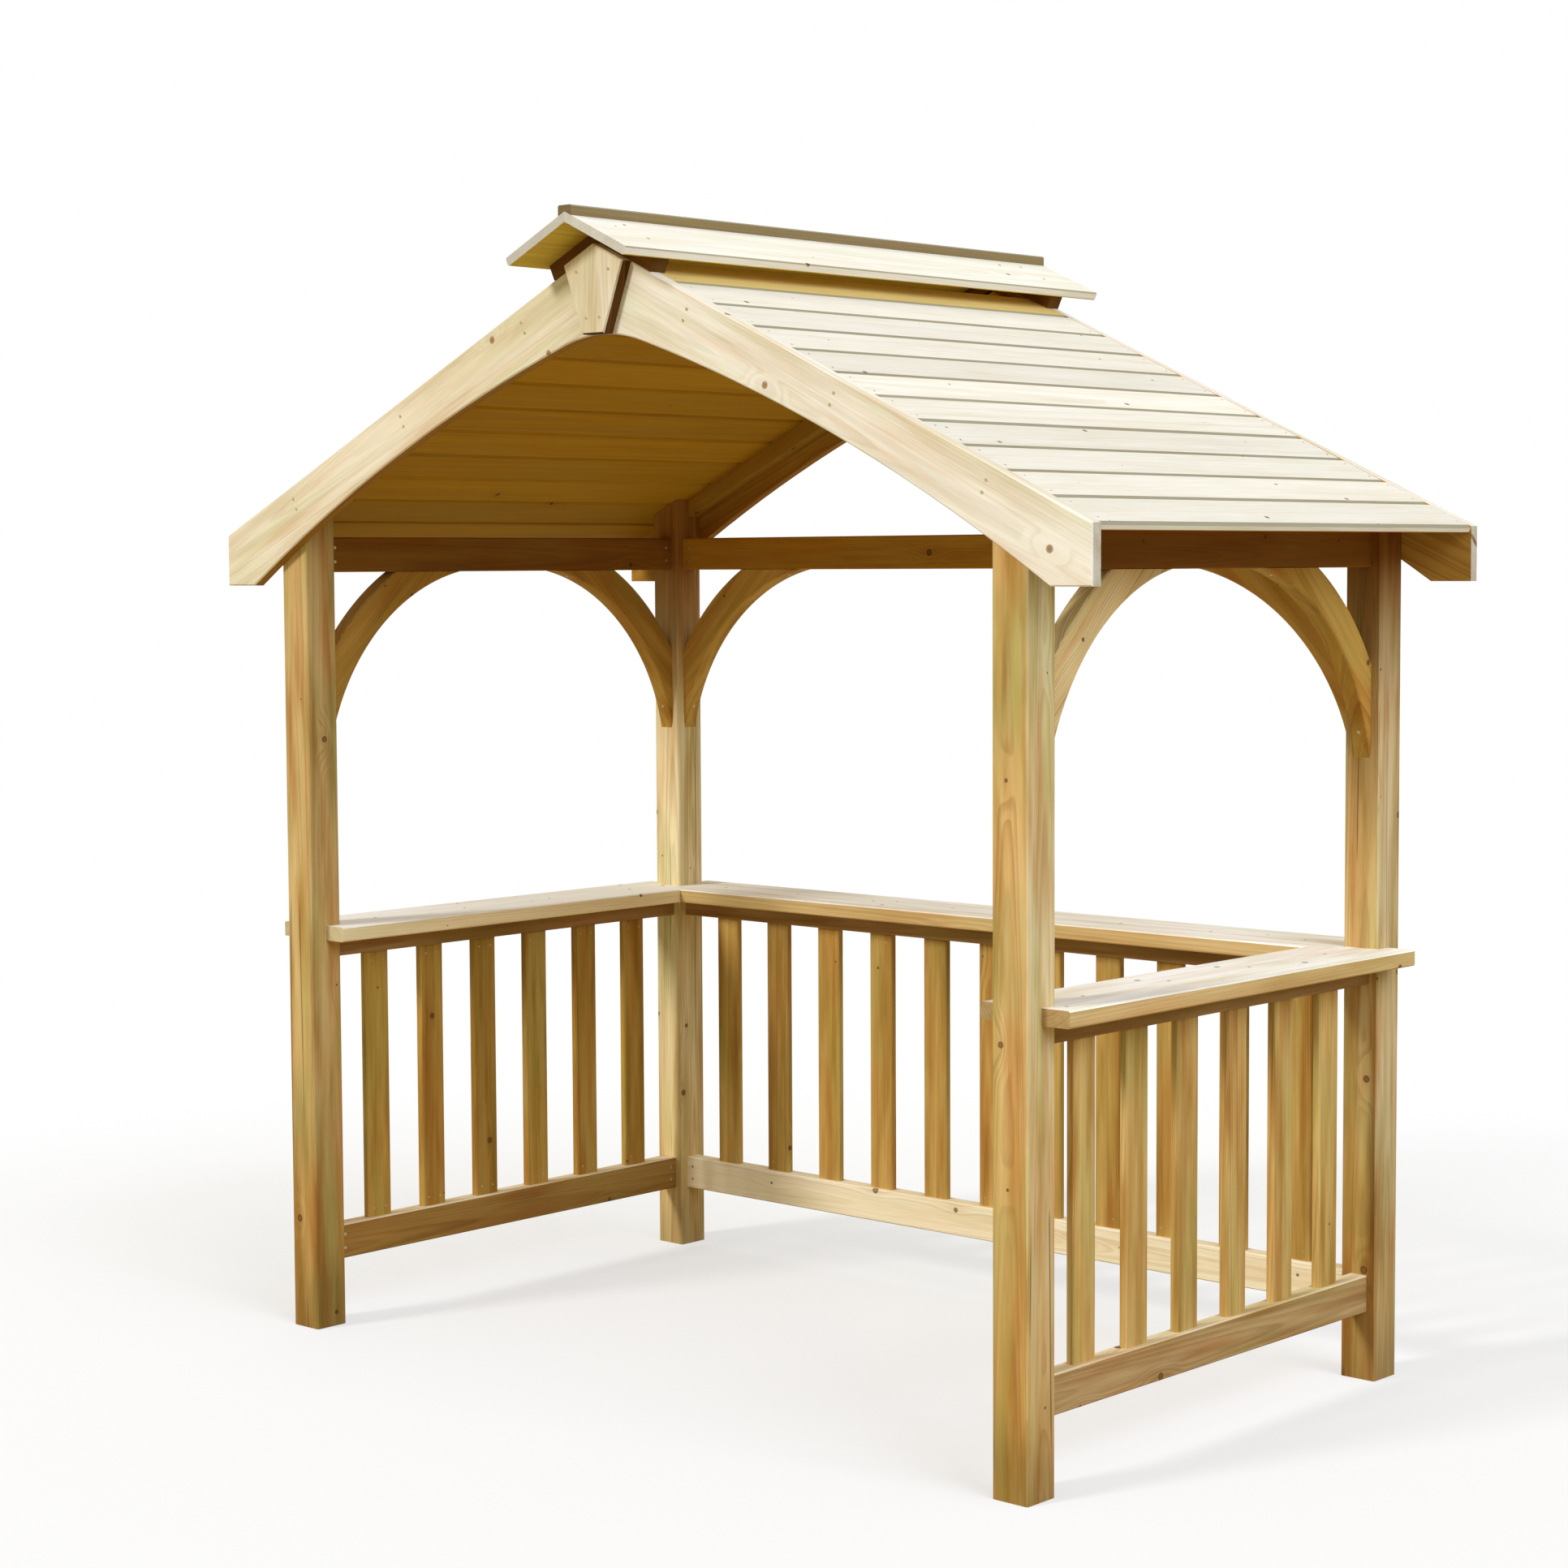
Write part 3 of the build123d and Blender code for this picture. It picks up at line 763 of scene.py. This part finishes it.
@dataclass
class Fixings:
    """Screw and nail heads, collected place by place and built as one piece for each job.

    Attributes:
        steel: Their finish.
        head_mm: Radius of a screw head.
        nail_mm: Radius of a nail head.
        proud_mm: How far a head stands off the timber.
    """

    steel: Material
    head_mm: float = 4.0
    nail_mm: float = 2.4
    proud_mm: float = 0.7
    places: list[tuple[Vector, Vector, bool]] = field(default_factory=list)

    def screw(self, place: Vector, out: Vector) -> None:
        """Note a screw with a star recess."""
        self.places.append((place, out, True))

    def nail(self, place: Vector, out: Vector) -> None:
        """Note a flat round nail."""
        self.places.append((place, out, False))

    def _head(self, form: BMesh, place: Vector, out: Vector, is_screw: bool) -> None:
        """Add one head to a form, as rings of points from its rim to its middle.

        Args:
            form: Mesh that it goes into.
            place: Point on the timber's face.
            out: Unit vector off the face.
            is_screw: Whether it has a star recess.
        """
        points = 24
        turn = out.to_track_quat("Z", "Y").to_matrix()
        radius = (self.head_mm if is_screw else self.nail_mm) * MM
        proud = self.proud_mm * MM
        rings = [(1.0, 0.0, 0.0), (1.0, proud * 0.6, 0.0), (0.86, proud, 0.0)]
        if is_screw:
            rings += [(0.48, proud, 0.14), (0.36, proud * 0.1, 0.14), (0.12, proud * 0.1, 0.0)]
        loops = []
        for share, height, lobe in rings:
            loop = []
            for step in range(points):
                angle = 2 * pi * step / points
                reach = radius * share * (1 + lobe * cos(6 * angle))
                spot = Vector((reach * cos(angle), reach * sin(angle), height))
                loop.append(form.verts.new(place + turn @ spot))
            loops.append(loop)
        for outer, inner in zip(loops, loops[1:]):
            for step in range(points):
                after = (step + 1) % points
                form.faces.new((outer[step], outer[after], inner[after], inner[step]))
        form.faces.new(loops[-1])

    def build(self, name: str) -> Object:
        """Build the heads noted since the last build as one piece.

        Args:
            name: Name for the piece.

        Returns:
            The new object.
        """
        form = bmesh.new()
        for place, out, is_screw in self.places:
            self._head(form, place, out, is_screw)
        self.places.clear()
        return piece_from(name, form, self.steel)


@dataclass
class Part:
    """One sub-assembly of the shelter, and what it is made with.

    Attributes:
        yard: Where its timbers are cut.
        fixings: Its screws and nails.
        roof: Planes of the roof.
    """

    yard: Yard
    fixings: Fixings
    roof: Roof

    def dress(self) -> None:
        """Give the CAD nodes their pine, where building the pieces doesn't."""

    def build(self) -> None:
        """Build the pieces that the CAD nodes lack."""


@dataclass
class Frame(Part):
    """Posts, head beams and bottom and top rails.

    Attributes:
        screw_inset: Distance of the rails' end screws from the posts.
        screw_heights: Heights of a pair of screws, as shares of the timber's.
        pale_post: Which post has a paler copy of the post pine, painted light.
    """

    screw_inset: float = 0.020
    screw_heights: tuple[float, float] = (0.3, 0.7)
    pale_post: tuple[End, Side] = (End.BACK, Side.LEFT)

    def dress(self) -> None:
        """Give posts, beams and rails their pine."""
        for end in End:
            for side in Side:
                pine = POST_PINE if end is End.FRONT else SHADED_BACK_POST_PINE
                if (end, side) == self.pale_post:
                    pine = LIT_POST_PINE
                self.yard.dress(f"{end.label}_{side.label}_post", pine, UP, Cut.BOXED_HEART, ACROSS,
                                ACROSS * side.value)
        for kind in ("beam", "bottom_rail", "top_rail"):
            for panel in PANELS:
                self.yard.dress(f"{panel.name}_{kind}", getattr(panel, kind), panel.along,
                                Cut.HALVED_LOG, panel.thin)

    def build(self) -> None:
        """Build the pairs of screws that hold the ends of the rails and beams to the posts."""
        for kind in ("beam", "bottom_rail"):
            for panel in PANELS:
                low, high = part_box(f"{panel.name}_{kind}")
                face = panel.inner_face(kind)
                for reach in (low.dot(panel.along) + self.screw_inset,
                              high.dot(panel.along) - self.screw_inset):
                    for share in self.screw_heights:
                        height = UP * (low.z + share * (high.z - low.z))
                        self.fixings.screw(face + panel.along * reach + height, panel.inward)
        self.fixings.build("rail_screws")


@dataclass
class Balustrade(Part):
    """Slats and shelves on the left, right and back.

    Attributes:
        slat_width: Width of a slat.
        nail_inset: Distance of the slats' nails from their ends.
        nail_share: Distance of the two nails from a slat's middle, as a share of its width.
        screws_apart: Distance between the screws of a shelf.
    """

    slat_width: float = 0.075
    nail_inset: float = 0.022
    nail_share: float = 0.25
    screws_apart: float = 0.28

    def _row(self, panel: Panel) -> Row:
        """Share a panel's length among its slats, each with half a gap on both sides.

        Args:
            panel: Which panel.

        Returns:
            The row, whose shares meet in the middle of the gaps.
        """
        low, high = (corner.dot(panel.along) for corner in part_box(f"{panel.name}_slats"))
        pitch = (high - low - self.slat_width) / (panel.count - 1)
        return Row(panel.along, low + self.slat_width / 2 - pitch / 2, pitch)

    def dress(self) -> None:
        """Give slats and shelves their pine."""
        for panel in PANELS:
            self.yard.dress(f"{panel.name}_slats", panel.slats, UP, Cut.FLAT_SAWN, panel.thin,
                            row=self._row(panel))
            self.yard.dress(f"{panel.name}_shelf", panel.shelf, panel.along, Cut.FLAT_SAWN, UP)

    def build(self) -> None:
        """Build the slats' nails and the shelves' screws."""
        for panel in PANELS:
            self._nail_slats(panel)
        self.fixings.build("slat_nails")
        for panel in PANELS:
            self._screw_shelf(panel)
        self.fixings.build("shelf_screws")

    def _nail_slats(self, panel: Panel) -> None:
        """Note two nails at both ends of each slat, on the face that looks into the shelter.

        Args:
            panel: Which panel.
        """
        low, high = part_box(f"{panel.name}_slats")
        row = self._row(panel)
        face = panel.inner_face("slats")
        for number in range(panel.count):
            middle = row.axis * (row.start + (number + 0.5) * row.pitch)
            for z in (low.z + self.nail_inset, high.z - self.nail_inset):
                for share in (-self.nail_share, self.nail_share):
                    spot = middle + row.axis * share * self.slat_width + face
                    self.fixings.nail(spot + UP * z, panel.inward)

    def _screw_shelf(self, panel: Panel) -> None:
        """Note a line of screws through a shelf, down into its top rail.

        Args:
            panel: Which panel.
        """
        low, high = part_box(f"{panel.name}_top_rail")
        middle = (low + high) / 2
        middle.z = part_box(f"{panel.name}_shelf")[1].z
        span = (high - low).dot(panel.along)
        count = round(span / self.screws_apart)
        for number in range(count):
            share = (number + 0.5) / count - 0.5
            self.fixings.screw(middle + panel.along * span * share, UP)


@dataclass
class Braces(Part):
    """The six curved braces.

    Attributes:
        inner_radius: Radius of the inner curve.
        screw_from_end: Distance of each screw from the end of the brace, along that curve.
        pale_brace: Which brace beside a post has a paler copy of the brace pine, painted light.
    """

    inner_radius: float = 0.555
    screw_from_end: float = 0.060
    pale_brace: tuple[Side, End] = (Side.RIGHT, End.FRONT)

    def _place(self, node: str, pine: Pine, inward: Vector, post_face: float) -> None:
        """Dress one brace and note the screws in its inner curve.

        Args:
            node: Name of its node.
            pine: Its finish.
            inward: Unit vector from its post along its beam.
            post_face: Place of the post's face along that vector.
        """
        low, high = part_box(node)
        reach = high.z - low.z
        side = inward.cross(UP)
        self.yard.dress(node, pine, (inward + UP).normalized(), Cut.HALVED_LOG, side)
        centre = (reach + sqrt(2 * self.inner_radius**2 - reach**2)) / 2
        middle = side * ((low + high) / 2).dot(side)
        hub = middle + inward * (post_face + centre) + UP * (high.z - centre)
        first = atan2(centre - reach, centre)
        for turn in (first, pi / 2 - first):
            inset = self.screw_from_end / self.inner_radius
            angle = turn + inset if turn < pi / 4 else turn - inset
            out = inward * cos(angle) - UP * sin(angle)
            self.fixings.screw(hub - out * self.inner_radius, out)

    def build(self) -> None:
        """Dress the braces and build their screws."""
        for side in Side:
            for end in End:
                node = f"{side.label}_{end.label}_brace"
                low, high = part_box(node)
                inward = DEEP * -end.value
                face = low.y if end is End.FRONT else -high.y
                pine = LIT_BRACE_PINE if (side, end) == self.pale_brace else BRACE_PINE
                self._place(node, pine, inward, face)
            node = f"back_{side.label}_brace"
            low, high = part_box(node)
            face = low.x if side is Side.LEFT else -high.x
            self._place(node, LIT_BACK_BRACE_PINE, ACROSS * -side.value, face)
        self.fixings.build("brace_screws")


@dataclass
class Gables(Part):
    """Barge boards, rafters and keystones at both ends.

    Attributes:
        screw_distances: Places of the pairs of screws, down from the ridge.
        screw_depths: Depths of a pair below the upper edge.
        keystone_screws: Places of a keystone's screws, as shares of its width and height.
        pale_side: Side whose barge boards have the paler copy of the barge pine.
    """

    screw_distances: tuple[float, ...] = (0.30, 0.76, 1.20)
    screw_depths: tuple[float, float] = (0.032, 0.058)
    keystone_screws: tuple[tuple[float, float], ...] = ((0.27, 0.70), (0.11, 0.18))
    pale_side: Side = Side.RIGHT

    def dress(self) -> None:
        """Give barge boards, rafters and keystones their pine."""
        for end in End:
            out = (DEEP * end.value + UP * 0.7).normalized()
            for side in Side:
                down = self.roof.down(side)
                name = f"{end.label}_{side.label}"
                pine = PALE_BARGE_PINE if side is self.pale_side else BARGE_PINE
                self.yard.dress(f"{name}_barge_board", pine, down, Cut.FLAT_SAWN, DEEP, out)
                self.yard.dress(f"{name}_rafter", RAFTER_PINE, down, Cut.HALVED_LOG, DEEP)
            self.yard.dress(f"{end.label}_keystone", SHADOWED_KEYSTONE_PINE, UP, Cut.FLAT_SAWN, DEEP, out)

    def build(self) -> None:
        """Build the screws of the barge boards and of the keystones."""
        for end in End:
            low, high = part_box(f"{end.label}_right_barge_board")
            face = low.y if end is End.FRONT else high.y
            out = DEEP * end.value
            for side in Side:
                for distance in self.screw_distances:
                    for depth in self.screw_depths:
                        self.fixings.screw(self.roof.point(side, distance, -depth, face), out)
            low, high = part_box(f"{end.label}_keystone")
            face = low.y if end is End.FRONT else high.y
            tall = high.z - low.z
            for width_share, height_share in self.keystone_screws:
                for side in Side:
                    x = side.value * width_share * (high.x - low.x)
                    self.fixings.screw(Vector((x, face, low.z + height_share * tall)), out)
        self.fixings.build("gable_screws")


@dataclass
class RoofBoards(Part):
    """Both slopes, laid with tongued and grooved boards that have V-joints on both faces.

    The joints are drawn wider than real ones, so that they show from afar as dark lines.

    Attributes:
        count: Number of boards on a slope.
        thickness: Thickness of a board.
        joint_half: Half the width of a V-joint.
        joint_depth: Depth of a V-joint.
        open_joint: Gap that shows between two boards.
        tongue: Length of a tongue.
        tongue_half: Half its thickness.
        tongue_play: Room above and below a tongue.
        groove_play: Room past its end.
        drops: Least and most that a board lies below the others.
        tilts: Least and most that its lower edge lies below that.
        nail_spread: Distance of the two nails of a board from its middle.
        nail_sunk: How far they are driven in.
    """

    count: int = 11
    thickness: float = 0.020
    joint_half: float = 0.0080
    joint_depth: float = 0.0055
    open_joint: float = 0.0022
    tongue: float = 0.005
    tongue_half: float = 0.003
    tongue_play: float = 0.0003
    groove_play: float = 0.001
    drops: tuple[float, float] = (0.0001, 0.0009)
    tilts: tuple[float, float] = (-0.0001, 0.0007)
    nail_spread: float = 0.036
    nail_sunk: float = 0.0008

    def _profile(self, start: float, stop: float, is_first: bool, is_last: bool) -> Outline:
        """Give the outline of one board across its length.

        Args:
            start: Distance of its upper edge down from the ridge.
            stop: Distance of its lower edge.
            is_first: Whether it ends at the vent, with no tongue.
            is_last: Whether it ends at the eaves, with no groove.

        Returns:
            Points as distance down the slope and height off its upper face.
        """
        gap = self.open_joint / 2
        deep = self.thickness - self.joint_depth
        middle = self.thickness / 2
        upper = [(start + self.joint_half, 0.0), (stop - self.joint_half, 0.0)]
        groove_end = stop - gap - self.tongue - self.groove_play
        if is_last:
            right = [(stop, -self.joint_depth), (stop, -deep)]
        else:
            right = [
                (stop - gap, -self.joint_depth),
                (stop - gap, -middle + self.tongue_half),
                (groove_end, -middle + self.tongue_half),
                (groove_end, -middle - self.tongue_half),
                (stop - gap, -middle - self.tongue_half),
                (stop - gap, -deep),
            ]
        lower = [(stop - self.joint_half, -self.thickness), (start + self.joint_half, -self.thickness)]
        thin = self.tongue_half - self.tongue_play
        if is_first:
            left = [(start, -deep), (start, -self.joint_depth)]
        else:
            left = [
                (start + gap, -deep),
                (start + gap, -middle - thin),
                (start - self.tongue, -middle - thin),
                (start - self.tongue, -middle + thin),
                (start + gap, -middle + thin),
                (start + gap, -self.joint_depth),
            ]
        return upper + right + lower + left

    def _board(self, form: BMesh, side: Side, outline: Outline, low_y: float,
               high_y: float, drop: float, tilt: float) -> None:
        """Add one board to a slope.

        Args:
            form: Mesh that it goes into.
            side: Which slope.
            outline: Its outline across its length.
            low_y: Place of its front end.
            high_y: Place of its back end.
            drop: How far it lies below its neighbours.
            tilt: How much further its lower edge lies below them.
        """
        start = outline[0][0]
        width = outline[1][0] - start
        ends = []
        for y in (low_y, high_y):
            ring = []
            for distance, height in outline:
                sunk = height - drop - tilt * (distance - start) / width
                ring.append(form.verts.new(self.roof.point(side, distance, sunk, y)))
            ends.append(ring)
            form.faces.new(ring)
        for step in range(len(outline)):
            after = (step + 1) % len(outline)
            form.faces.new((ends[0][step], ends[0][after], ends[1][after], ends[1][step]))

    def build(self) -> None:
        """Build both slopes of boards in place of the plain ones, and their nails."""
        chance = Random(11)
        for side in Side:
            node = f"{side.label}_roof_boards"
            low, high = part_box(node)
            top = self.roof.vent_x / cos(self.roof.pitch)
            eaves = max(abs(low.x), abs(high.x)) / cos(self.roof.pitch)
            cover = (eaves - top) / self.count
            row = Row(self.roof.down(side), top - self.roof.ridge_z * sin(self.roof.pitch), cover)
            form = bmesh.new()
            for number in range(self.count):
                start = top + number * cover
                is_last = number == self.count - 1
                outline = self._profile(start, start + cover, number == 0, is_last)
                drop = chance.uniform(*self.drops)
                tilt = chance.uniform(*self.tilts)
                self._board(form, side, outline, low.y, high.y, drop, tilt)
                for end in End:
                    rafter_low, rafter_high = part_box(f"{end.label}_right_rafter")
                    y = (rafter_low.y + rafter_high.y) / 2
                    for spread in (-self.nail_spread, self.nail_spread):
                        distance = start + cover / 2 + spread
                        spot = self.roof.point(side, distance, -self.nail_sunk, y)
                        self.fixings.nail(spot, self.roof.out(side))
            out = self.roof.out(side)
            lie = self.yard.lie(node, DEEP, Cut.FLAT_SAWN, out, out, row)
            boards = piece_from(f"{side.label}_boarding", form, ROOF_PINE.material(f"pine_{node}", lie))
            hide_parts(node)
        self.fixings.build("roof_nails")


@dataclass
class RidgeCap(Part):
    """Raised cap over the vent: saddles, two boards and the strip along the top.

    Attributes:
        screw_distances: Places of the screws in each end, down from the ridge.
    """

    screw_distances: tuple[float, float] = (0.055, 0.135)

    def dress(self) -> None:
        """Give saddles, cap boards and strip their pine."""
        for side in Side:
            for end in End:
                self.yard.dress(f"{end.label}_{side.label}_cap_saddle", SADDLE_PINE,
                                self.roof.down(side), Cut.HALVED_LOG, DEEP)
            out = self.roof.out(side)
            self.yard.dress(f"{side.label}_cap_board", CAP_PINE, DEEP, Cut.FLAT_SAWN, out, out)
        self.yard.dress("ridge_strip", STRIP_PINE, DEEP, Cut.HALVED_LOG, UP)

    def build(self) -> None:
        """Build the screws through the cap boards into the saddles."""
        for side in Side:
            low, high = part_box(f"{side.label}_cap_board")
            out = self.roof.out(side)
            apex = Vector((0, 0, high.z))
            for end in End:
                saddle_low, saddle_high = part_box(f"{end.label}_{side.label}_cap_saddle")
                y = (saddle_low.y + saddle_high.y) / 2
                for distance in self.screw_distances:
                    self.fixings.screw(apex + self.roof.down(side) * distance + DEEP * y, out)
        self.fixings.build("cap_screws")


@dataclass(frozen=True)
class Lamp:
    """One large soft lamp, far away.

    Attributes:
        name: Its name.
        direction: Where it shines from.
        strength: Its strength.
        softness: Its apparent size, in degrees.
        colour: Colour of its light.
    """

    name: str
    direction: tuple[float, float, float]
    strength: float
    softness: float
    colour: tuple[float, float, float] = (1.0, 1.0, 1.0)


@dataclass
class Studio:
    """Pale floor, soft light and the camera at the photograph's viewing angle.

    Attributes:
        eye: Place of the camera.
        heading: Its bearing, in degrees from +Y towards -X.
        dip: How far it looks down, in degrees.
        roll: How far it leans, in degrees.
        lens_mm: Focal length on a sensor of 36 mm.
        lamps: The front lamp, and a cooler and softer one from the right.
        sky: Colour of the even light from all round, a little warm.
        sky_strength: Its strength.
        floor_radius: Radius of the floor.
        floor_drop: How far it lies below the feet, so that the faces don't meet.
        fade: Distances between which the floor turns white.
        fade_share: How white it is within them.
        floor_colour: Colour of the floor as the camera sees it.
        floor_bounce: Colour of the light that the floor throws up.
    """

    eye: tuple[float, float, float] = (4.9608, -5.5579, 1.8825)
    heading: float = 42.4608
    dip: float = 4.0047
    roll: float = -0.3005
    lens_mm: float = 72.17
    lamps: tuple[Lamp, ...] = (
        Lamp("front_lamp", (-0.25, -0.83, 0.49), 1.85, 12.0),
        Lamp("right_lamp", (0.80, -0.15, 0.58), 1.72, 40.0, (0.905, 1.02, 1.26)),
    )
    sky: tuple[float, float, float, float] = (1.0, 0.94, 0.78, 1.0)
    sky_strength: float = 0.5
    floor_radius: float = 30.0
    floor_drop: float = 0.5 * MM
    fade: tuple[float, float] = (1.6, 4.5)
    fade_share: float = 0.55
    floor_colour: str = "f4f3f0"
    floor_bounce: str = "ae9c70"

    def build(self) -> None:
        """Build the floor, the light and the camera."""
        self._floor()
        self._sky()
        for lamp in self.lamps:
            self._hang(lamp)
        self._camera()

    def _seen(self, tree: NodeTree) -> NodeSocket:
        """Add a share that is 1 for what the camera sees, straight or by way of gloss or glass.

        Args:
            tree: Node tree of the floor or of the world.

        Returns:
            That share.
        """
        ray = add_node(tree, "LightPath").outputs
        share = ray["Is Camera Ray"]
        for kind in ("Is Glossy Ray", "Is Transmission Ray"):
            share = add_node(tree, "Math", (share, ray[kind]), operation="MAXIMUM").outputs[0]
        return share

    def _floor(self) -> None:
        """Lay a round pale floor that stays white in the picture and keeps the shadow."""
        form = bmesh.new()
        bmesh.ops.create_circle(form, cap_ends=True, segments=96, radius=self.floor_radius)
        mesh = bpy.data.meshes.new("floor")
        form.to_mesh(mesh)
        form.free()
        floor = bpy.data.objects.new("floor", mesh)
        floor.location.z = -self.floor_drop
        bpy.context.scene.collection.objects.link(floor)
        material = empty_material("pale_floor")
        tree = material.node_tree
        place = add_node(tree, "TexCoord").outputs["Object"]
        reach = add_node(tree, "VectorMath", (place,), operation="LENGTH").outputs["Value"]
        fade = add_node(tree, "MapRange", (reach, *self.fade, self.fade_share, 1.0),
                        interpolation_type="SMOOTHSTEP")
        pale = add_node(tree, "BsdfDiffuse", {"Color": linear(self.floor_colour)})
        white = add_node(tree, "Emission", {"Color": WHITE, "Strength": 1.0})
        seen = add_node(tree, "MixShader", (fade.outputs[0], pale.outputs[0], white.outputs[0]))
        bounced = add_node(tree, "BsdfDiffuse", {"Color": linear(self.floor_bounce)})
        shader = add_node(tree, "MixShader", (self._seen(tree), bounced.outputs[0], seen.outputs[0]))
        add_node(tree, "OutputMaterial", {"Surface": shader.outputs[0]})
        mesh.materials.append(material)

    def _sky(self) -> None:
        """Light the shelter evenly from all round, and show white behind it."""
        world = bpy.data.worlds.new("studio")
        world.use_nodes = True
        tree = world.node_tree
        tree.nodes.clear()
        light = add_node(tree, "Background", {"Color": self.sky, "Strength": self.sky_strength})
        white = add_node(tree, "Background", {"Color": WHITE, "Strength": 1.0})
        mix = add_node(tree, "MixShader", (self._seen(tree), light.outputs[0], white.outputs[0]))
        add_node(tree, "OutputWorld", {"Surface": mix.outputs[0]})
        bpy.context.scene.world = world

    def _hang(self, lamp: Lamp) -> None:
        """Hang one lamp.

        Args:
            lamp: Its place, strength, size and colour.
        """
        light = bpy.data.lights.new(lamp.name, "SUN")
        light.energy = lamp.strength
        light.angle = radians(lamp.softness)
        light.color = lamp.colour
        hung = bpy.data.objects.new(lamp.name, light)
        hung.rotation_euler = Vector(lamp.direction).to_track_quat("Z", "Y").to_euler()
        bpy.context.scene.collection.objects.link(hung)

    def _camera(self) -> None:
        """Set up the camera where the photograph was taken from."""
        lens = bpy.data.cameras.new("photo_view")
        lens.sensor_width = 36.0
        lens.lens = self.lens_mm
        lens.clip_end = 100.0
        camera = bpy.data.objects.new("photo_view", lens)
        bearing = Matrix.Rotation(radians(self.heading), 4, "Z")
        tilt = Matrix.Rotation(radians(90 - self.dip), 4, "X")
        lean = Matrix.Rotation(radians(self.roll), 4, "Z")
        camera.matrix_world = Matrix.Translation(self.eye) @ bearing @ tilt @ lean
        bpy.context.scene.collection.objects.link(camera)
        bpy.context.scene.camera = camera
        bpy.context.scene.view_settings.view_transform = "Standard"


def main() -> None:
    """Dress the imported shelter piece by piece, light it and set up the camera."""
    logging.basicConfig(level=logging.INFO, format="%(message)s")
    made_with = (Yard(), Fixings(SCREW_STEEL.material("zinc_plated_steel")), Roof())
    for kind in (Frame, Balustrade, Braces, Gables, RoofBoards, RidgeCap):
        part = kind(*made_with)
        part.dress()
        part.build()
    Studio().build()


if __name__ == "__main__":
    main()
